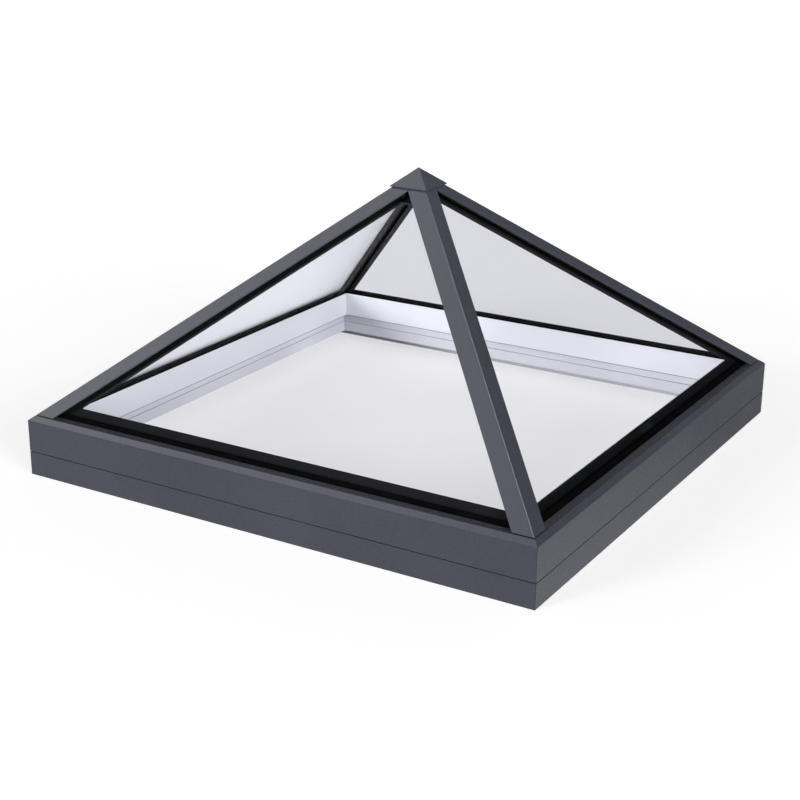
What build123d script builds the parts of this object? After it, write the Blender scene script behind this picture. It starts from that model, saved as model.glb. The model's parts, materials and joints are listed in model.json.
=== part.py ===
from build123d import *
import os
from math import cos, radians, sin, sqrt, tan

# Fixed pyramid rooflight: four sloping glazing units on a two-tier mitred frame for an upstand kerb.
# Millimetres. X runs along the front side, Y from front to back, Z is up. The origin is the middle
# of the square on which the skirt stands.
# A place in a side's section is (w, z): w is the distance inward from the outer face.
# A place in the roof is (u, depth): u runs up the slope from the top of the outer face, and depth
# goes square into the roof from the plane of the hip caps. Reach is square to a hip, in its slope.

# Outline
side_length = 1000.0
frame_height = 102.0
pitch = 39.7

# Lower tier
sheet = 2.0
seat_height = 22.5
split_height = 44.5
shadow_gap = 1.5
joint_chamfer = 0.8
skirt_flange = 12.0
rail_width = 45.0
wall = 2.5
rail_web = 24.0
seal_height = 3.0
seal_inset = 6.0
seal_width = 16.0
kerb_hole = 7.0
access_hole = 16.0
kerb_hole_inset = 150.0

# Upper tier
beam_gap = 1.0
key_chamber_roof = 7.0
key_chamber_inset = 6.5
hook_drop = 42.0
hook_length = 4.5
hook_thickness = 2.0
hook_groove = 4.0
liner_thickness = 16.5
liner_drop = 37.5
liner_wall = 2.0
ledge_run = 9.0
lip_reach = 25.0
fold_radius = 1.5

# Glazing units
glass_top = 13.0
pane = 4.0
cavity = 6.0
unit_foot = 8.5
unit_hip_reach = 9.5
unit_head = 20.0
border_thickness = 0.5
border_hip_reach = 18.0
border_foot = 54.0
seal_margin = 1.0
spacer_margin = 10.0
block_thickness = 5.0
block_length = 100.0
block_inset = 250.0
stop_depth = 2.0
bed_gasket = 2.0
bed_gasket_width = 24.0
bed_gasket_end = 54.0
flap_end = 34.8
flap_thickness = 1.0
gasket_heel = 11.0

# Hips
cap_reach = 29.5
cap_thickness = 2.5
cap_bend = 2.0
cap_foot_gap = 1.5
plate_reach = 16.5
plate_top = 7.0
plate_thickness = 3.0
rib_reach = 12.0
rib_width = 2.0
gasket_reach = 14.8
bar_reach = 8.5
bar_bottom = 24.0
bar_foot_drop = 1.0
saddle_width = 10.0
saddle_top = 7.2
saddle_thickness = 3.0
screw_count = 5
screw_first = 90.0
screw_last = 130.0
screw_diameter = 4.0
screw_head = 7.0
screw_head_height = 2.2
screw_length = 12.0

# Apex
hub_half = 22.0
hub_height = 24.0
cap_half = 37.0
apex_cap_rise = 2.3
apex_sheet = 1.2
apex_seal_outer = 32.0
apex_seal_width = 6.0
boss_diameter = 18.0
bolt_diameter = 8.0
bolt_flats = 13.0
bolt_head_height = 5.3
bolt_reach = 14.0
caps_end = 20.0

# Corner keys
key_arm = 80.0

# Running clearance round keys, screws and edges
clearance = 0.3

half = side_length / 2
rise = sin(radians(pitch))
run = cos(radians(pitch))
hip_stretch = sqrt(1 + run**2)
hip_rise = tan(radians(pitch))
glass_bottom = glass_top + 2 * pane + cavity
bed = glass_bottom + bed_gasket
plate_bottom = plate_top + plate_thickness
top_height = frame_height + ledge_run * hip_rise
skirt_height = split_height - shadow_gap
beam_outer = sheet + beam_gap
stop_u = unit_foot - block_thickness
cap_foot = top_height + cap_foot_gap
crest_length = half * sqrt(2 + hip_rise**2)
screw_pitch = (crest_length - screw_first - screw_last) / (screw_count - 1)
crown_height = frame_height + half * hip_rise
hook_height = frame_height - hook_drop
liner_foot = frame_height - liner_drop
key_chamber_height = frame_height + (rail_web * rise - bed) / run - key_chamber_roof - split_height - wall
hub_top = crown_height - hub_half * hip_rise / sqrt(2) - plate_bottom / run
hub_bottom = hub_top - hub_height
head_u = (half - glass_top * rise - unit_hip_reach * hip_stretch - unit_head) / run
crown_u = half / run

SIDES = {"front": 0, "right": 90, "back": 180, "left": 270}
CORNERS = {"front_right": 0, "back_right": 90, "back_left": 180, "front_left": 270}


def turned(x, y, angle):
    """Level direction or place, turned about the upright axis."""
    return Vector(x, y, 0).rotate(Axis.Z, angle)


def section_plane(angle):
    """Section across one side: local x is w and local y is z."""
    return Plane(origin=turned(0, -half, angle), x_dir=turned(0, 1, angle), z_dir=turned(1, 0, angle))


def roof_plane(angle, depth):
    """Plane of one slope at a depth: local x runs along the eaves and local y is u."""
    origin = turned(0, -half, angle) + Vector(0, 0, frame_height)
    normal = Vector(0, -rise, run).rotate(Axis.Z, angle)
    return Plane(origin=origin, x_dir=turned(1, 0, angle), z_dir=normal).offset(-depth)


def hip_plane(angle):
    """Upright plane through the hip at the right-hand end of a side, facing away from the side."""
    return Plane(origin=(0, 0, 0), x_dir=(0, 0, 1), z_dir=turned(1, 1, angle))


def crest_plane(angle, drop):
    """Plane square to a hip's crest: local x crosses the hip and local y runs up along it."""
    corner = turned(half, -half, angle) + Vector(0, 0, frame_height)
    normal = turned(hip_rise, -hip_rise, angle) * (1 / sqrt(2)) + Vector(0, 0, sqrt(2))
    return Plane(origin=corner, x_dir=turned(1, 1, angle), z_dir=normal).offset(-drop)


def slope_point(u, depth):
    """Place in a side's section of a place in the roof."""
    return (u * run + depth * rise, frame_height + u * rise - depth * run)


def slope_height(w, depth):
    """Height of the slope at a depth, at w from the outer face."""
    return frame_height + (w * rise - depth) / run


def slope_reach(z, depth):
    """Distance w at which the slope at a depth has a height."""
    return ((z - frame_height) * run + depth) / rise


def hip_x(u, depth, reach):
    """Place along the eaves of a line that runs beside the right-hand hip, a reach away from it."""
    return half - u * run - depth * rise - reach * hip_stretch


def square_reach(reach, depth):
    """Reach at a depth of a face that is square to the slope and has a given reach on the glass."""
    return reach + (glass_top - depth) * rise / hip_stretch


def hip_strip(angle, depth, near, far, low, high):
    """Face in a slope beside its right-hand hip, between two reaches and two places up the slope."""
    with BuildSketch(roof_plane(angle, depth)) as strip:
        with BuildLine():
            Polyline(
                (hip_x(low, depth, near), low),
                (hip_x(high, depth, near), high),
                (hip_x(high, depth, far), high),
                (hip_x(low, depth, far), low),
                close=True,
            )
        make_face()
    return strip.sketch


def slope_trapezium(angle, depth, low, high, reach):
    """Face in a slope between its two hips, a reach away from each."""
    with BuildSketch(roof_plane(angle, depth)) as trapezium:
        with BuildLine():
            Polyline(
                (-hip_x(low, depth, reach), low),
                (hip_x(low, depth, reach), low),
                (hip_x(high, depth, reach), high),
                (-hip_x(high, depth, reach), high),
                close=True,
            )
        make_face()
    return trapezium.sketch


def unit_face(angle, depth, inset):
    """Outline of a glazing unit, cut square through its thickness, less an inset all round."""
    reach = square_reach(unit_hip_reach, depth) + inset
    return slope_trapezium(angle, depth, unit_foot + inset, head_u - inset, reach)


def cut_roof(depth):
    """Keep of the piece that is being built what lies under the four slopes at a depth."""
    for angle in SIDES.values():
        split(bisect_by=roof_plane(angle, depth), keep=Keep.BOTTOM)


def pyramid(half_width, depth):
    """Solid under the four slopes at a depth, over a square at the apex."""
    with BuildPart() as block:
        with BuildSketch(Plane.XY.offset(frame_height)):
            Rectangle(2 * half_width, 2 * half_width)
        extrude(amount=side_length)
        cut_roof(depth)
    return block.part


def mitre(angle, gap=0.0):
    """Cut the length that is being built at the two hips of its side, a gap short of each."""
    split(bisect_by=hip_plane(angle).offset(-gap), keep=Keep.BOTTOM)
    split(bisect_by=hip_plane(angle - 90).offset(gap), keep=Keep.TOP)


def end_at_hub(angle, gap):
    """Cut the hip piece that is being built square, a gap short of the apex hub."""
    facing = turned(1, -1, angle).normalized()
    split(bisect_by=Plane(origin=facing * (hub_half + gap), z_dir=facing), keep=Keep.TOP)


def cut_foot():
    """Cut the hip piece that is being built level, just above the flat tops of the covers."""
    split(bisect_by=Plane.XY.offset(cap_foot), keep=Keep.TOP)


def cut_centre(angle):
    """Keep the wing that is being built on its own half of the slope."""
    middle = turned(1, 0, angle)
    split(bisect_by=Plane(origin=middle * clearance, z_dir=middle), keep=Keep.TOP)


def save(piece, name):
    piece.part.label = name
    export_step(piece.part, f"parts/{name}.step")


def build_skirt(name, angle):
    """Plate outside the kerb, with a flange that lies on the base rail."""
    with BuildPart() as skirt:
        with BuildSketch(section_plane(angle)):
            with BuildLine():
                Polyline(
                    (0, 0),
                    (0, skirt_height),
                    (skirt_flange, skirt_height),
                    (skirt_flange, skirt_height - sheet),
                    (sheet, skirt_height - sheet),
                    (sheet, 0),
                    close=True,
                )
            make_face()
        extrude(amount=half, both=True)
        mitre(angle)
    save(skirt, f"skirt_{name}")


def build_base_rail(name, angle):
    """Two-chamber rail on the kerb, with fixing holes under wider ones that let the screws in."""
    rebate = skirt_height - sheet
    with BuildPart() as rail:
        with BuildSketch(section_plane(angle)):
            with BuildLine():
                Polyline(
                    (sheet, seat_height),
                    (rail_width, seat_height),
                    (rail_width, split_height - joint_chamfer),
                    (rail_width - joint_chamfer, split_height),
                    (skirt_flange + clearance, split_height),
                    (skirt_flange + clearance, rebate),
                    (sheet, rebate),
                    close=True,
                )
            make_face()
            with BuildLine():
                Polyline(
                    (sheet + wall, seat_height + wall),
                    (rail_web - wall, seat_height + wall),
                    (rail_web - wall, rebate - wall),
                    (sheet + wall, rebate - wall),
                    close=True,
                )
            make_face(mode=Mode.SUBTRACT)
            with BuildLine():
                Polyline(
                    (rail_web, seat_height + wall),
                    (rail_width - wall, seat_height + wall),
                    (rail_width - wall, split_height - wall),
                    (rail_web, split_height - wall),
                    close=True,
                )
            make_face(mode=Mode.SUBTRACT)
        extrude(amount=half, both=True)
        mitre(angle)
        hole_line = (rail_web + rail_width - wall) / 2
        for place in (kerb_hole_inset - half, half - kerb_hole_inset):
            centre = turned(place, hole_line - half, angle) + Vector(0, 0, split_height)
            with Locations(centre):
                CounterBoreHole(kerb_hole / 2, access_hole / 2, split_height - seat_height - wall)
    save(rail, f"base_rail_{name}")


def build_eaves_beam(name, angle):
    """Hollow beam with the sloping glazing bed, the stop for the units and the cover's groove."""
    stop_top = slope_point(stop_u, glass_top + stop_depth)
    chamber_w = beam_outer + key_chamber_inset
    chamber_z = split_height + wall
    with BuildPart() as beam:
        with BuildSketch(section_plane(angle)):
            with BuildLine():
                Polyline(
                    (beam_outer, split_height),
                    (rail_width - joint_chamfer, split_height),
                    (rail_width, split_height + joint_chamfer),
                    (rail_width, slope_height(rail_width, bed)),
                    slope_point(stop_u, bed),
                    stop_top,
                    (beam_outer, stop_top[1]),
                    close=True,
                )
            make_face()
            with BuildLine():
                Polyline(
                    (chamber_w, chamber_z),
                    (rail_web, chamber_z),
                    (rail_web, chamber_z + key_chamber_height),
                    (chamber_w, chamber_z + key_chamber_height),
                    close=True,
                )
            make_face(mode=Mode.SUBTRACT)
            with BuildLine():
                Polyline(
                    (rail_web + wall, chamber_z),
                    (rail_width - wall, chamber_z),
                    (rail_width - wall, slope_height(rail_width - wall, bed + wall)),
                    (rail_web + wall, slope_height(rail_web + wall, bed + wall)),
                    close=True,
                )
            make_face(mode=Mode.SUBTRACT)
            with Locations((beam_outer, hook_height + hook_thickness / 2)):
                Rectangle(2 * hook_groove, hook_thickness + 2 * clearance, mode=Mode.SUBTRACT)
        extrude(amount=half, both=True)
        mitre(angle)
    save(beam, f"eaves_beam_{name}")


def build_inner_liner(name, angle):
    """Hollow lining on the room side, cut to the slope under the bed gasket."""
    inner = rail_width + liner_thickness
    with BuildPart() as liner:
        with BuildSketch(section_plane(angle)):
            with BuildLine():
                Polyline(
                    (rail_width, liner_foot),
                    (inner, liner_foot),
                    (inner, slope_height(inner, bed)),
                    (rail_width, slope_height(rail_width, bed)),
                    close=True,
                )
            make_face()
            with BuildLine():
                Polyline(
                    (rail_width + liner_wall, liner_foot + liner_wall),
                    (inner - liner_wall, liner_foot + liner_wall),
                    (inner - liner_wall, slope_height(inner - liner_wall, bed + liner_wall)),
                    (rail_width + liner_wall, slope_height(rail_width + liner_wall, bed + liner_wall)),
                    close=True,
                )
            make_face(mode=Mode.SUBTRACT)
        extrude(amount=half, both=True)
        mitre(angle)
    save(liner, f"inner_liner_{name}")


def build_eaves_cover(name, angle):
    """Outer cover: upright face, ledge at the roof's slope, flat top and a hook on the back."""
    bend = sheet * tan(radians((90 - pitch) / 2))
    ledge_bend = sheet * tan(radians(pitch / 2))
    with BuildPart() as cover:
        with BuildSketch(section_plane(angle)):
            with BuildLine():
                FilletPolyline(
                    (0, split_height),
                    (0, frame_height),
                    (ledge_run, top_height),
                    (lip_reach, top_height),
                    radius=fold_radius,
                )
                Polyline(
                    (lip_reach, top_height),
                    (lip_reach, top_height - sheet),
                    (ledge_run + ledge_bend, top_height - sheet),
                    (sheet, frame_height - bend),
                    (sheet, split_height),
                    (0, split_height),
                )
            make_face()
            with Locations((sheet, hook_height)):
                Rectangle(hook_length, hook_thickness, align=(Align.MIN, Align.MIN))
        extrude(amount=half, both=True)
        mitre(angle)
    save(cover, f"eaves_cover_{name}")


def build_outer_pane(name, angle):
    with BuildPart() as pane_sheet:
        extrude(unit_face(angle, glass_top, 0), amount=-pane)
    save(pane_sheet, f"outer_pane_{name}")


def build_inner_pane(name, angle):
    with BuildPart() as pane_sheet:
        extrude(unit_face(angle, glass_bottom - pane, 0), amount=-pane)
    save(pane_sheet, f"inner_pane_{name}")


def build_pane_border(name, angle):
    """Black edging on the underside of the outer pane, widest along the eaves."""
    depth = glass_top + pane
    with BuildPart() as border:
        extrude(unit_face(angle, depth, 0), amount=-border_thickness)
        window = slope_trapezium(angle, depth, border_foot, head_u - spacer_margin, border_hip_reach)
        extrude(window, amount=-border_thickness, mode=Mode.SUBTRACT)
    save(border, f"pane_border_{name}")


def build_spacer(name, angle):
    """Spacer bar and its sealant, a ring between the panes."""
    depth = glass_top + pane + border_thickness
    height = cavity - border_thickness
    with BuildPart() as spacer:
        extrude(unit_face(angle, depth, seal_margin), amount=-height)
        extrude(unit_face(angle, depth, spacer_margin), amount=-height, mode=Mode.SUBTRACT)
    save(spacer, f"spacer_{name}")


def build_hip_cap(name, angle):
    """Folded cap with a wing on each slope, cut level over the covers."""
    with BuildPart() as cap:
        top = crown_u - caps_end / run
        extrude(hip_strip(angle, 0, -cap_thickness, cap_reach, 0, top), amount=-cap_thickness)
        cut_centre(angle)
        cut_foot()
        split(bisect_by=hip_plane(angle), keep=Keep.BOTTOM)
        mirror(about=hip_plane(angle))
        crest = crest_plane(angle, 0)
        fillet(cap.edges().filter_by(Axis(crest.origin, crest.y_dir)).sort_by(Axis.Z)[-1], cap_bend)
    save(cap, f"hip_cap_{name}")


def screw_places():
    return [(0, screw_first + number * screw_pitch) for number in range(screw_count)]


def build_hip_plate(name, angle):
    """Pressure plate with a rib under each wing of the cap and a saddle for the screws."""
    with BuildPart() as plate:
        wing = hip_strip(angle, plate_bottom, -plate_bottom, plate_reach, 0, crown_u)
        extrude(wing, amount=plate_thickness)
        rib = hip_strip(angle, plate_top, rib_reach - rib_width, rib_reach, 0, crown_u)
        extrude(rib, amount=plate_top - cap_thickness)
        cut_centre(angle)
        split(bisect_by=hip_plane(angle), keep=Keep.BOTTOM)
        mirror(about=hip_plane(angle))
        with BuildSketch(crest_plane(angle, saddle_top)):
            with Locations((0, half)):
                Rectangle(saddle_width, side_length)
        extrude(amount=-saddle_thickness)
        cut_foot()
        end_at_hub(angle, clearance)
        with BuildSketch(crest_plane(angle, saddle_top)):
            with Locations(screw_places()):
                Circle(screw_diameter / 2 + clearance)
        extrude(amount=-2 * plate_bottom, mode=Mode.SUBTRACT)
    save(plate, f"hip_plate_{name}")


def build_hip_bar(name, angle):
    """Wedge between two units, lower at its foot where it passes under the covers."""
    foot_top = glass_top + bar_foot_drop
    reach = square_reach(bar_reach, foot_top)
    with BuildPart() as bar:
        extrude(hip_strip(angle, foot_top, -bar_bottom, reach, 0, crown_u), amount=foot_top - plate_bottom)
        cut_foot()
        wedge = hip_strip(angle, foot_top, -bar_bottom, reach, stop_u, crown_u)
        extrude(wedge, amount=foot_top - bar_bottom)
        split(bisect_by=hip_plane(angle), keep=Keep.BOTTOM)
        mirror(about=hip_plane(angle))
        end_at_hub(angle, 0)
        with BuildSketch(crest_plane(angle, saddle_top)):
            with Locations(screw_places()):
                Circle(screw_diameter / 2)
        extrude(amount=-screw_length - clearance, mode=Mode.SUBTRACT)
    save(bar, f"hip_bar_{name}")


def mitred_length(angle, points):
    """Length of one side from the points of its section, kept apart from its neighbours."""
    with BuildPart() as length:
        with BuildSketch(section_plane(angle)):
            with BuildLine():
                Polyline(*points, close=True)
            make_face()
        extrude(amount=half, both=True)
        mitre(angle, clearance / 2)
    return length.part


def build_kerb_seal():
    """Soft strips under the base rails."""
    foot = seat_height - seal_height
    inner = seal_inset + seal_width
    corners = ((seal_inset, foot), (inner, foot), (inner, seat_height), (seal_inset, seat_height))
    with BuildPart() as seal:
        for angle in SIDES.values():
            add(mitred_length(angle, corners))
    save(seal, "kerb_seal")


def build_bed_gaskets():
    """Flat strips between the sloping beds and the inner panes."""
    start = bed_gasket_end - bed_gasket_width
    corners = (
        slope_point(start, glass_bottom),
        slope_point(bed_gasket_end, glass_bottom),
        slope_point(bed_gasket_end, bed),
        slope_point(start, bed),
    )
    with BuildPart() as gaskets:
        for angle in SIDES.values():
            add(mitred_length(angle, corners))
    save(gaskets, "bed_gaskets")


def build_eaves_gaskets():
    """Wedges between the covers' lips and the outer panes, with a flap up the glass."""
    under_lip = top_height - sheet
    corners = (
        slope_point(gasket_heel, glass_top),
        (slope_reach(top_height, glass_top), top_height),
        (lip_reach, top_height),
        (lip_reach, under_lip),
        (slope_point(gasket_heel, glass_top)[0], under_lip),
    )
    flap_start = (slope_reach(top_height, glass_top) - flap_thickness - glass_top * rise) / run
    flap_depth = glass_top - flap_thickness
    flap_side = square_reach(gasket_reach + clearance, flap_depth)
    with BuildPart() as gaskets:
        for angle in SIDES.values():
            add(mitred_length(angle, corners))
            flap = slope_trapezium(angle, flap_depth, flap_start, flap_end, flap_side)
            extrude(flap, amount=-flap_thickness)
    save(gaskets, "eaves_gaskets")


def build_setting_blocks():
    """Blocks between the beams' stops and the lower edges of the units."""
    depth = glass_top + stop_depth
    with BuildPart() as blocks:
        for angle in SIDES.values():
            with BuildSketch(roof_plane(angle, depth)):
                with Locations((block_inset - half, stop_u), (half - block_inset, stop_u)):
                    Rectangle(block_length, block_thickness, align=(Align.CENTER, Align.MIN))
            extrude(amount=depth - glass_bottom)
    save(blocks, "setting_blocks")


def build_corner_keys():
    """L keys in the four mitres of the base rails and of the eaves beams."""
    beam_chamber = beam_outer + key_chamber_inset
    rail_chamber = skirt_height - sheet - seat_height - 2 * wall
    chambers = (
        (sheet + wall, rail_web - wall, seat_height + wall, rail_chamber),
        (beam_chamber, rail_web, split_height + wall, key_chamber_height),
    )
    with BuildPart() as keys:
        for outer, inner, floor, height in chambers:
            corner = half - outer - clearance
            width = inner - outer - 2 * clearance
            with BuildSketch(Plane.XY.offset(floor)):
                with PolarLocations(0, 4):
                    with Locations((corner, -corner)):
                        Rectangle(key_arm, width, align=(Align.MAX, Align.MIN))
                        Rectangle(width, key_arm, align=(Align.MAX, Align.MIN))
            extrude(amount=height - clearance)
    save(keys, "corner_keys")


def build_hip_gaskets():
    """Two strips on each hip, between the units and the pressure plate."""
    near = unit_hip_reach + clearance
    with BuildPart() as gaskets:
        for angle in CORNERS.values():
            with BuildPart(mode=Mode.PRIVATE) as pair:
                strip = hip_strip(angle, glass_top, near, gasket_reach, 0, head_u)
                extrude(strip, amount=glass_top - plate_bottom)
                cut_foot()
                mirror(about=hip_plane(angle))
            add(pair.part)
    save(gaskets, "hip_gaskets")


def build_hip_joint_seals():
    """Black joints between the units' edges, under the bars and flush with the inner panes."""
    reach = square_reach(unit_hip_reach - clearance, bar_bottom)
    with BuildPart() as seals:
        for angle in CORNERS.values():
            with BuildPart(mode=Mode.PRIVATE) as seal:
                wing = hip_strip(angle, bar_bottom, -glass_bottom, reach, stop_u, crown_u)
                extrude(wing, amount=bar_bottom - glass_bottom)
                split(bisect_by=hip_plane(angle), keep=Keep.BOTTOM)
                mirror(about=hip_plane(angle))
                end_at_hub(angle, 0)
            add(seal.part)
    save(seals, "hip_joint_seals")


def build_hip_screws():
    """Pan-head screws through the plates' saddles into the bars."""
    with BuildPart() as screws:
        for angle in CORNERS.values():
            with BuildSketch(crest_plane(angle, saddle_top)):
                with Locations(screw_places()):
                    Circle(screw_head / 2)
            extrude(amount=screw_head_height)
            with BuildSketch(crest_plane(angle, saddle_top)):
                with Locations(screw_places()):
                    Circle(screw_diameter / 2)
            extrude(amount=-screw_length)
    save(screws, "hip_screws")


def build_apex_hub():
    """Eight-sided block with a flat against the end of each hip bar."""
    with BuildPart() as hub:
        with BuildSketch(Plane.XY.offset(hub_bottom)):
            RegularPolygon(hub_half, 8, major_radius=False, rotation=22.5)
            Circle(bolt_diameter / 2 + clearance, mode=Mode.SUBTRACT)
        extrude(amount=hub_height)
    save(hub, "apex_hub")


def build_apex_seal():
    """Ring between the hip caps and the apex cap."""
    with BuildPart() as seal:
        add(pyramid(apex_seal_outer, -apex_cap_rise))
        add(pyramid(apex_seal_outer, 0), mode=Mode.SUBTRACT)
        add(pyramid(apex_seal_outer - apex_seal_width, -apex_cap_rise), mode=Mode.SUBTRACT)
    save(seal, "apex_seal")


def build_apex_cap():
    """Thin pyramid over the ends of the hip caps, with a blind boss for the bolt."""
    with BuildPart() as boss:
        with BuildSketch(Plane.XY.offset(hub_top)):
            Circle(boss_diameter / 2)
        extrude(amount=side_length)
        cut_roof(-apex_cap_rise - apex_sheet / 2)
    with BuildPart() as cap:
        add(pyramid(cap_half, -apex_cap_rise - apex_sheet))
        add(pyramid(cap_half, -apex_cap_rise), mode=Mode.SUBTRACT)
        add(boss.part)
        with BuildSketch(Plane.XY.offset(hub_top)):
            Circle(bolt_diameter / 2)
        extrude(amount=bolt_reach + clearance, mode=Mode.SUBTRACT)
    save(cap, "apex_cap")


def build_apex_bolt():
    """Hexagon bolt from below, through the hub into the cap's boss."""
    with BuildPart() as bolt:
        with BuildSketch(Plane.XY.offset(hub_bottom - bolt_head_height)):
            RegularPolygon(bolt_flats / 2, 6, major_radius=False)
        extrude(amount=bolt_head_height)
        with BuildSketch(Plane.XY.offset(hub_bottom)):
            Circle(bolt_diameter / 2)
        extrude(amount=hub_height + bolt_reach)
    save(bolt, "apex_bolt")


os.makedirs("parts", exist_ok=True)

for side, side_angle in SIDES.items():
    build_skirt(side, side_angle)
    build_base_rail(side, side_angle)
    build_eaves_beam(side, side_angle)
    build_inner_liner(side, side_angle)
    build_eaves_cover(side, side_angle)
    build_outer_pane(side, side_angle)
    build_inner_pane(side, side_angle)
    build_pane_border(side, side_angle)
    build_spacer(side, side_angle)

for corner, corner_angle in CORNERS.items():
    build_hip_cap(corner, corner_angle)
    build_hip_plate(corner, corner_angle)
    build_hip_bar(corner, corner_angle)

build_kerb_seal()
build_bed_gaskets()
build_eaves_gaskets()
build_setting_blocks()
build_corner_keys()
build_hip_gaskets()
build_hip_joint_seals()
build_hip_screws()
build_apex_hub()
build_apex_seal()
build_apex_cap()
build_apex_bolt()
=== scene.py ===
import json
from math import acos, cos, pi, radians, sin, tan

import bpy
import numpy as np
from mathutils import Matrix, Vector


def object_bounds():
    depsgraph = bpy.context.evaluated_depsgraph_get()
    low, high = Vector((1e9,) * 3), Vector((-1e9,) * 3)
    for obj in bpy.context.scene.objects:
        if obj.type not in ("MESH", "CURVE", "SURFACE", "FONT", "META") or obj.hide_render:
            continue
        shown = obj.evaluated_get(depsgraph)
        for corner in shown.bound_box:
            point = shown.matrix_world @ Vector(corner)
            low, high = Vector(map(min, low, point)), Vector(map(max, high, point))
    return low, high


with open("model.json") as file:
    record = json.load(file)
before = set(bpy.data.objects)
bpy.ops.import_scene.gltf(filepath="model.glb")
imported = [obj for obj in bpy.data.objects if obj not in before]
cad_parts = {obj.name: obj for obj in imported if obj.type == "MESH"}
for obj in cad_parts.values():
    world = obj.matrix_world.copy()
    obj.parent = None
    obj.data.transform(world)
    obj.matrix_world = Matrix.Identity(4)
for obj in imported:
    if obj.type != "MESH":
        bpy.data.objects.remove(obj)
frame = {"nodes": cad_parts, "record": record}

cad_box = [list(corner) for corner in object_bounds()]
nodes = frame["nodes"]
scene = bpy.context.scene

MM = 0.001
X, Y, Z = range(3)


# Sizes, taken from the solids

def extent(node, axis):
    """Lowest and highest coordinate of a node along an axis, in metres."""
    values = [corner[axis] for corner in nodes[node].bound_box]
    return min(values), max(values)


# Half the side, the thickness of the skirt's plate, the top of the skirt, the foot of the upper tier,
# the foot of the lining, half the clear opening and the pitch of the roof.
HALF_SIDE = cad_box[1][X]
SHEET = HALF_SIDE + extent("base_rail_left", X)[0]
SKIRT_TOP = extent("skirt_front", Z)[1]
TIER_SPLIT = extent("eaves_beam_front", Z)[0]
LINING_FOOT = extent("inner_liner_front", Z)[0]
HALF_OPENING = -extent("inner_liner_left", X)[1]
pane_face = max(nodes["outer_pane_front"].data.polygons, key=lambda face: face.area)
PITCH = acos(abs(pane_face.normal.z))


# Colours

def linear(hex_colour):
    """Turn an sRGB hex colour into the linear red, green, blue and alpha that shaders take."""
    channels = np.array([int(hex_colour[i:i + 2], 16) for i in (1, 3, 5)]) / 255
    low = channels / 12.92
    high = ((channels + 0.055) / 1.055) ** 2.4
    return (*np.where(channels <= 0.04045, low, high).tolist(), 1.0)


# Node work

def add_node(tree, kind, inputs=None, **settings):
    """Add a node: settings are its own properties, and inputs are values or the sockets to link."""
    node = tree.nodes.new(kind)
    for name, value in settings.items():
        setattr(node, name, value)
    for key, value in (inputs or {}).items():
        if isinstance(value, bpy.types.NodeSocket):
            tree.links.new(value, node.inputs[key])
        else:
            node.inputs[key].default_value = value
    return node


def new_material(name):
    """An empty material with its output node; returns the material, its tree and the output."""
    material = bpy.data.materials.new(name)
    material.use_nodes = True
    tree = material.node_tree
    tree.nodes.clear()
    return material, tree, add_node(tree, "ShaderNodeOutputMaterial")


def object_place(tree):
    """Object coordinates, which are those of the frame, in metres."""
    return add_node(tree, "ShaderNodeTexCoord").outputs["Object"]


def split_axes(tree, place):
    """The x, y and z of a place."""
    return tuple(add_node(tree, "ShaderNodeSeparateXYZ", {0: place}).outputs)


def grain(tree, place, size, detail=3.0):
    """Noise whose grains are about size millimetres across, from 0 to 1."""
    return add_node(tree, "ShaderNodeTexNoise", {
        "Vector": place, "Scale": 1 / (size * MM), "Detail": detail, "Roughness": 0.5,
    }).outputs["Fac"]


def spread(tree, value, low, high, start=0.3, end=0.7):
    """Carry a value that runs from start to end to the range from low to high.

    Noise keeps within its middle part, so that part is what start and end name when left out.
    """
    return add_node(tree, "ShaderNodeMapRange", {
        "Value": value, "From Min": start, "From Max": end, "To Min": low, "To Max": high,
    }).outputs["Result"]


def arithmetic(tree, operation, first, second=0.0, third=0.0):
    return add_node(tree, "ShaderNodeMath", {0: first, 1: second, 2: third}, operation=operation).outputs[0]


def magnitude(tree, value):
    return arithmetic(tree, "ABSOLUTE", value)


def product(tree, first, second):
    return arithmetic(tree, "MULTIPLY", first, second)


def off_middle(tree, x, y):
    """Distance from the middle of the square, measured square to the nearest side."""
    return arithmetic(tree, "MAXIMUM", magnitude(tree, x), magnitude(tree, y))


def blend_colours(tree, factor, first, second):
    """First colour at factor 0 and second at factor 1."""
    return add_node(
        tree, "ShaderNodeMix", {"Factor": factor, "A": first, "B": second}, data_type="RGBA"
    ).outputs["Result"]


def colour_ramp(tree, factor, stops):
    """Colour that runs through stops, each a position and an sRGB hex colour."""
    ramp = add_node(tree, "ShaderNodeValToRGB", {"Fac": factor})
    elements = ramp.color_ramp.elements
    elements.remove(elements[0])
    elements[0].position = stops[0][0]
    elements[0].color = linear(stops[0][1])
    for position, colour in stops[1:]:
        elements.new(position).color = linear(colour)
    return ramp.outputs["Color"]


def relief(tree, height, depth, edge=0.0):
    """Normal with a relief of depth millimetres, over edges that are eased by a radius in millimetres."""
    base = {"Height": height, "Distance": depth * MM}
    if edge:
        base["Normal"] = add_node(tree, "ShaderNodeBevel", {"Radius": edge * MM}, samples=4).outputs[0]
    return add_node(tree, "ShaderNodeBump", base).outputs["Normal"]


def ray(tree, kind):
    """1 for the rays of one kind: Camera, Glossy, Transmission or Shadow."""
    return add_node(tree, "ShaderNodeLightPath").outputs[f"Is {kind} Ray"]


def mitre_seam(tree, colour, x, y, reach, share, dark):
    """Draw the mitres' seams on a colour, along the two diagonals of the frame.

    A seam is where the distances from the two middle lines differ by less than reach millimetres,
    and share is how far the colour goes there towards the dark one.
    """
    across = magnitude(tree, arithmetic(tree, "SUBTRACT", magnitude(tree, x), magnitude(tree, y)))
    seam = arithmetic(tree, "LESS_THAN", across, reach * MM)
    return blend_colours(tree, product(tree, seam, share), colour, linear(dark))


# Materials

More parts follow.
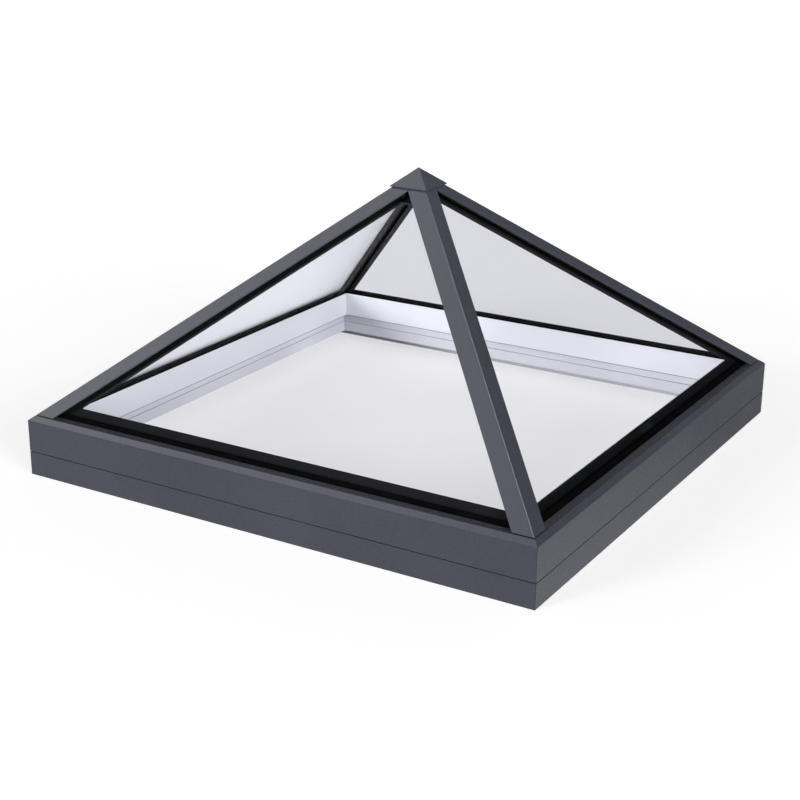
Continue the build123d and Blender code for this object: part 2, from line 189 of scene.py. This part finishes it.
def powder_coat(name, mitred):
    """Polyester powder coat on aluminium, anthracite grey and fine-textured.

    It gives the eye a dark blue-grey skin with a soft sheen, a fine orange peel and easy edges.
    """
    material, tree, output = new_material(name)
    place = object_place(tree)
    # Broad, faint tone changes, as where the spray lay thicker.
    tone = spread(tree, grain(tree, place, size=260), 0.0, 1.0)
    colour = blend_colours(tree, tone, linear("#393A43"), linear("#3F4049"))
    # The peel of the real coat is under half a millimetre: it is drawn at 2.2 mm so that it shows.
    peel = grain(tree, place, size=2.2, detail=2.0)
    colour = blend_colours(tree, spread(tree, peel, 0.0, 0.12), colour, linear("#62646F"))
    if mitred:
        x, y, z = split_axes(tree, place)
        # The sheet's inner side has the thin pale lacquer that the back of coated sheet is given.
        inside = arithmetic(tree, "LESS_THAN", off_middle(tree, x, y), HALF_SIDE - SHEET / 2)
        below = arithmetic(tree, "LESS_THAN", z, SKIRT_TOP)
        colour = blend_colours(tree, product(tree, inside, below), colour, linear("#D0D3D8"))
        colour = mitre_seam(tree, colour, x, y, reach=0.45, share=0.75, dark="#17181C")
    shader = add_node(tree, "ShaderNodeBsdfPrincipled", {
        "Base Color": colour,
        "Specular IOR Level": 0.14,
        "Roughness": spread(tree, peel, 0.20, 0.28),
        "Normal": relief(tree, peel, depth=0.05, edge=0.9),
    })
    tree.links.new(shader.outputs[0], output.inputs["Surface"])
    return material


def white_profile(name, deep, pale, line_height, line_reach):
    """White satin skin of an extruded profile, as a polyester coat or as window plastic.

    It gives the eye a clean cool white, soft reflections and faint lines along each length. A grey
    band, reaching the given millimetres to each side of one height, shows there as a hairline.
    """
    material, tree, output = new_material(name)
    place = object_place(tree)
    x, y, z = split_axes(tree, place)
    tone = spread(tree, grain(tree, place, size=180), 0.0, 1.0)
    colour = blend_colours(tree, tone, linear(deep), linear(pale))
    colour = mitre_seam(tree, colour, x, y, reach=0.6, share=0.55, dark="#9C9DA4")
    off = magnitude(tree, arithmetic(tree, "SUBTRACT", z, line_height))
    colour = blend_colours(tree, arithmetic(tree, "LESS_THAN", off, line_reach * MM), colour, linear("#7F818A"))
    # Die lines run level along every length, 1.6 mm apart: finer ones would not show.
    level = add_node(tree, "ShaderNodeCombineXYZ", {Z: z}).outputs[0]
    lines = grain(tree, level, size=1.6, detail=1.0)
    shader = add_node(tree, "ShaderNodeBsdfPrincipled", {
        "Base Color": colour,
        "Roughness": spread(tree, lines, 0.34, 0.44),
        "Normal": relief(tree, lines, depth=0.02, edge=0.6),
    })
    tree.links.new(shader.outputs[0], output.inputs["Surface"])
    return material


def float_glass(name, share, start, end):
    """Clear float glass, toughened.

    It gives the eye a nearly clear sheet that mirrors at a glancing view, with the long slow waves
    that toughening leaves. The mirrored part of the light on each face is nil until one less the
    cosine of the view is start and it is share from end on, as under an anti-glare coat, which stops
    working only at such views: the photograph shows no reflection elsewhere. Only the eye sees it,
    because the powder coat's gloss would otherwise show it again as a pale haze along the frame. It
    is a soft gloss, as off the film of dust that a pane carries outdoors.
    """
    material, tree, output = new_material(name)
    waves = grain(tree, object_place(tree), size=240, detail=1.0)
    glance = add_node(tree, "ShaderNodeLayerWeight", {"Blend": 0.5}).outputs["Facing"]
    mirrored = product(tree, spread(tree, glance, 0.0, share, start, end), ray(tree, "Camera"))
    # Shadow rays leave the tint out, so that the floor under the glass stays white.
    clear = add_node(tree, "ShaderNodeBsdfTransparent", {
        "Color": blend_colours(tree, ray(tree, "Shadow"), linear("#FAFAFB"), linear("#FFFFFF")),
    })
    gloss = add_node(tree, "ShaderNodeBsdfAnisotropic", {
        "Color": linear("#FFFFFF"), "Roughness": 0.6, "Normal": relief(tree, waves, depth=0.12),
    }, distribution="MULTI_GGX")
    pane = add_node(tree, "ShaderNodeMixShader", {0: mirrored, 1: clear.outputs[0], 2: gloss.outputs[0]})
    tree.links.new(pane.outputs[0], output.inputs["Surface"])
    return material


def plain_finish(name, pale, deep, patch, fine, rough, depth, metallic=0.0, shine=0.5):
    """A finish of two near colours in patches, with a fine grain in its roughness and relief.

    Patch and fine are the sizes of the patches and grains in millimetres, and depth is that of the relief.
    """
    material, tree, output = new_material(name)
    place = object_place(tree)
    tone = spread(tree, grain(tree, place, patch), 0.0, 1.0)
    grains = grain(tree, place, fine, detail=2.0)
    shader = add_node(tree, "ShaderNodeBsdfPrincipled", {
        "Base Color": blend_colours(tree, tone, linear(deep), linear(pale)),
        "Metallic": metallic,
        "Specular IOR Level": shine,
        "Roughness": spread(tree, grains, *rough),
        "Normal": relief(tree, grains, depth, edge=0.4),
    })
    tree.links.new(shader.outputs[0], output.inputs["Surface"])
    return material


def extruded_aluminium(name, dark, pale):
    """Extruded aluminium, bare or anodised black.

    It gives the eye metal with fine die lines that run along each hip: both numbers that feed the
    noise, the distance across the hip and the height over the slope, stay the same along it.
    """
    material, tree, output = new_material(name)
    x, y, z = split_axes(tree, object_place(tree))
    wide = magnitude(tree, x)
    deep = magnitude(tree, y)
    across = arithmetic(tree, "SUBTRACT", wide, deep)
    over = arithmetic(tree, "MULTIPLY_ADD", arithmetic(tree, "ADD", wide, deep), tan(PITCH) / 2, z)
    section = add_node(tree, "ShaderNodeCombineXYZ", {X: across, Y: over}).outputs[0]
    lines = grain(tree, section, size=1.2, detail=2.0)
    shader = add_node(tree, "ShaderNodeBsdfPrincipled", {
        "Base Color": blend_colours(tree, spread(tree, lines, 0.0, 1.0), linear(dark), linear(pale)),
        "Metallic": 1.0,
        "Roughness": spread(tree, lines, 0.30, 0.46),
        "Normal": relief(tree, lines, depth=0.02, edge=0.4),
    })
    tree.links.new(shader.outputs[0], output.inputs["Surface"])
    return material


finishes = {
    "frame_coat": powder_coat("anthracite powder coat, mitred lengths", mitred=True),
    "cap_coat": powder_coat("anthracite powder coat, folded caps", mitred=False),
    "lining_coat": white_profile(
        "white polyester coat, lining", deep="#EAEBF2", pale="#F1F2F8", line_height=LINING_FOOT, line_reach=1.2),
    # The tiers' white is greyer than the lining's: partly a different plastic, partly painted shade for the
    # shade under the lining's overhang.
    "frame_plastic": white_profile(
        "white window plastic, frame tiers, greyed as painted shade", deep="#DCDDE5", pale="#E5E6ED", line_height=TIER_SPLIT, line_reach=0.5),
    "outer_glass": float_glass("clear float glass, outer panes", share=0.75, start=0.77, end=0.85),
    "inner_glass": float_glass("clear float glass, inner panes", share=0.02, start=0.50, end=0.85),
    # Black ceramic ink fired on the pane: a hard, even, glossy black behind the glass.
    "black_edging": plain_finish(
        "fired black ceramic ink", pale="#232427", deep="#1E1F22",
        patch=60, fine=1.5, rough=(0.22, 0.30), depth=0.005, shine=0.0),
    # Plastic warm-edge spacer and its sealant: dull black with a faint moulded grain.
    "spacer_black": plain_finish(
        "matt black spacer plastic", pale="#18181A", deep="#101012",
        patch=25, fine=1.2, rough=(0.55, 0.70), depth=0.02, shine=0.3),
    "mill_aluminium": extruded_aluminium("mill-finish extruded aluminium", dark="#B4B7BB", pale="#CDD0D3"),
    "black_anodised": extruded_aluminium("black-anodised extruded aluminium", dark="#141416", pale="#1E1E21"),
    # Zinc-plated steel: small bright crystals give a slightly patchy bluish shine.
    "bright_steel": plain_finish(
        "bright zinc-plated steel", pale="#C9CCD2", deep="#A9ADB5",
        patch=3, fine=0.8, rough=(0.22, 0.36), depth=0.01, metallic=1.0),
    # Extruded rubber weather strip: dull charcoal black, with a slightly chalky grain. It is drawn deeper
    # than rubber's own black, as painted shade for the shadow on it under the caps and in recesses.
    "black_rubber": plain_finish(
        "black rubber weather strip, deepened as painted shade", pale="#0E0E0F", deep="#090909",
        patch=30, fine=1.0, rough=(0.62, 0.80), depth=0.03, shine=0.0),
}

# Slots with two finishes: the nodes that have the word in their name take the first, and the rest the second.
two_finishes = {
    "anthracite": ("cap", "cap_coat", "frame_coat"),
    "white_frame": ("liner", "lining_coat", "frame_plastic"),
    "clear_glass": ("outer", "outer_glass", "inner_glass"),
}

for part in frame["record"]["subparts"]:
    finish = part["material_slot"]
    if finish in two_finishes:
        word, with_word, without_word = two_finishes[finish]
        finish = with_word if word in part["node"] else without_word
    mesh = nodes[part["node"]].data
    mesh.materials.clear()
    mesh.materials.append(finishes[finish])


# Camera, from a fit of the solids' edges to the photograph

CAMERA_PLACE = (1.42059, -2.42698, 1.0999)
AZIMUTH = radians(30.9621)
ELEVATION = radians(19.8944)
ROLL = radians(0.3718)
LENS_MM = 72.077
SENSOR_MM = 36.0

ahead = -Vector((sin(AZIMUTH) * cos(ELEVATION), -cos(AZIMUTH) * cos(ELEVATION), sin(ELEVATION)))
level_right = Vector((cos(AZIMUTH), sin(AZIMUTH), 0))
level_up = level_right.cross(ahead)
right = cos(ROLL) * level_right + sin(ROLL) * level_up
up = cos(ROLL) * level_up - sin(ROLL) * level_right

camera_data = bpy.data.cameras.new("studio camera")
camera_data.sensor_fit = "HORIZONTAL"
camera_data.sensor_width = SENSOR_MM
camera_data.lens = LENS_MM
camera = bpy.data.objects.new("studio camera", camera_data)
turned = Matrix((right, up, -ahead)).transposed().to_4x4()
camera.matrix_world = Matrix.Translation(CAMERA_PLACE) @ turned
scene.collection.objects.link(camera)
scene.camera = camera


# Floor

FLOOR_RADIUS = 60.0
FLOOR_CORNERS = 96
# The floor lies just under the solids, so that it shares no face with them.
FLOOR_DROP = 0.5 * MM
# Strengths of the floor's own light and of the bright card's, where 1 shows as white.
FLOOR_LIGHT = 0.71
CARD_LIGHT = 0.5
# The dark card's density grows along y, from nothing at minus the reach to its most at the reach.
CARD_DENSITY = 0.72
CARD_REACH = 0.40


def show_rays(tree):
    """1 for the rays that show the studio: from the camera, off a gloss or through glass."""
    seen = arithmetic(tree, "MAXIMUM", ray(tree, "Camera"), ray(tree, "Glossy"))
    return arithmetic(tree, "MAXIMUM", seen, ray(tree, "Transmission"))


def studio_floor(name):
    """White floor: what shows of it is mostly its own light, so it is white and keeps a soft shadow.

    Two cards lie on it and show in glosses alone, as a photographer lays them. A bright one under the
    opening lights the haze on the left-hand pane. A dark one beside the right-hand side, denser towards
    the back, keeps the white floor out of the gloss of that side, which is seen at a flat angle.
    """
    material, tree, output = new_material(name)
    shown = show_rays(tree)
    glossy = ray(tree, "Glossy")
    x, y, _ = split_axes(tree, object_place(tree))
    matt = add_node(tree, "ShaderNodeBsdfDiffuse", {
        "Color": blend_colours(tree, shown, linear("#EEEEEE"), linear("#BFBFBF")),
    })
    under = arithmetic(tree, "LESS_THAN", off_middle(tree, x, y), HALF_OPENING)
    card_light = product(tree, product(tree, under, glossy), CARD_LIGHT)
    own_light = arithmetic(tree, "MULTIPLY_ADD", shown, FLOOR_LIGHT, card_light)
    glow = add_node(tree, "ShaderNodeEmission", {"Strength": own_light})
    lit = add_node(tree, "ShaderNodeAddShader", {0: matt.outputs[0], 1: glow.outputs[0]})
    beside = product(tree, arithmetic(tree, "GREATER_THAN", x, HALF_SIDE), glossy)
    density = product(tree, beside, spread(tree, y, 0.0, CARD_DENSITY, -CARD_REACH, CARD_REACH))
    dark_card = add_node(tree, "ShaderNodeBsdfDiffuse", {"Color": linear("#202022")})
    laid = add_node(tree, "ShaderNodeMixShader", {0: density, 1: lit.outputs[0], 2: dark_card.outputs[0]})
    tree.links.new(laid.outputs[0], output.inputs["Surface"])
    return material


turn = np.linspace(0, 2 * pi, FLOOR_CORNERS, endpoint=False)
depths = np.full(FLOOR_CORNERS, -FLOOR_DROP)
rim = np.stack([FLOOR_RADIUS * np.cos(turn), FLOOR_RADIUS * np.sin(turn), depths], axis=1)
floor_mesh = bpy.data.meshes.new("floor")
floor_mesh.from_pydata(rim.tolist(), [], [list(range(FLOOR_CORNERS))])
floor_mesh.materials.append(studio_floor("white studio floor"))
floor = bpy.data.objects.new("floor", floor_mesh)
scene.collection.objects.link(floor)


# Backdrop and lamps

def sky_patch(tree, heading, direction, focus, strength):
    """Strength of a light patch round a direction, which falls off the faster the higher focus is."""
    centre = Vector(direction).normalized()
    towards = add_node(tree, "ShaderNodeVectorMath", {0: heading, 1: centre}, operation="DOT_PRODUCT")
    facing = arithmetic(tree, "MAXIMUM", towards.outputs["Value"], 0.0)
    return product(tree, arithmetic(tree, "POWER", facing, focus), strength)


def sun_lamp(name, direction, strength, width):
    """Far lamp in a direction from the object, as wide as an angle in degrees, so it lights all evenly."""
    data = bpy.data.lights.new(name, "SUN")
    data.energy = strength
    data.angle = radians(width)
    lamp = bpy.data.objects.new(name, data)
    lamp.rotation_euler = Vector(direction).to_track_quat("Z", "Y").to_euler()
    lamp.visible_glossy = False
    scene.collection.objects.link(lamp)


# Both ramps run over the sine of the height above the horizon. What shows of the studio: white walls up
# to 12 degrees, a dark band, a grey ceiling, one soft window on the left and a small lamp overhead.
# What lights the object is pale at the horizon and dim overhead.
SHOWN_STOPS = ((0.20, "#FFFFFF"), (0.29, "#4C4D52"), (0.40, "#4C4D52"), (0.56, "#B6B8BF"))
LIGHTING_STOPS = ((0.25, "#EEEEEE"), (0.70, "#404040"))

world = bpy.data.worlds.new("soft studio")
scene.world = world
world.use_nodes = True
tree = world.node_tree
tree.nodes.clear()
heading = add_node(tree, "ShaderNodeTexCoord").outputs["Generated"]
height = split_axes(tree, heading)[Z]
window = sky_patch(tree, heading, (-0.72, -0.2, 0.665), focus=6.0, strength=6.6)
overhead = sky_patch(tree, heading, (0.17, 0.26, 0.95), focus=60.0, strength=70.0)
studio = add_node(tree, "ShaderNodeBackground", {"Color": colour_ramp(tree, height, SHOWN_STOPS)})
patches = add_node(tree, "ShaderNodeBackground", {"Strength": arithmetic(tree, "ADD", window, overhead)})
seen = add_node(tree, "ShaderNodeAddShader", {0: studio.outputs[0], 1: patches.outputs[0]})
lighting = add_node(tree, "ShaderNodeBackground", {"Color": colour_ramp(tree, height, LIGHTING_STOPS)})
backdrop = add_node(tree, "ShaderNodeMixShader", {
    0: show_rays(tree), 1: lighting.outputs[0], 2: seen.outputs[0],
})
add_node(tree, "ShaderNodeOutputWorld", {"Surface": backdrop.outputs[0]})

sun_lamp("key", (-0.42, -0.88, 0.23), strength=2.25, width=20)
sun_lamp("side", (0.90, -0.36, 0.24), strength=2.25, width=30)

scene.view_settings.view_transform = "Standard"
# A ray through the roof crosses eight faces of glass, and one that is mirrored on the way crosses more.
scene.cycles.transparent_max_bounces = 24
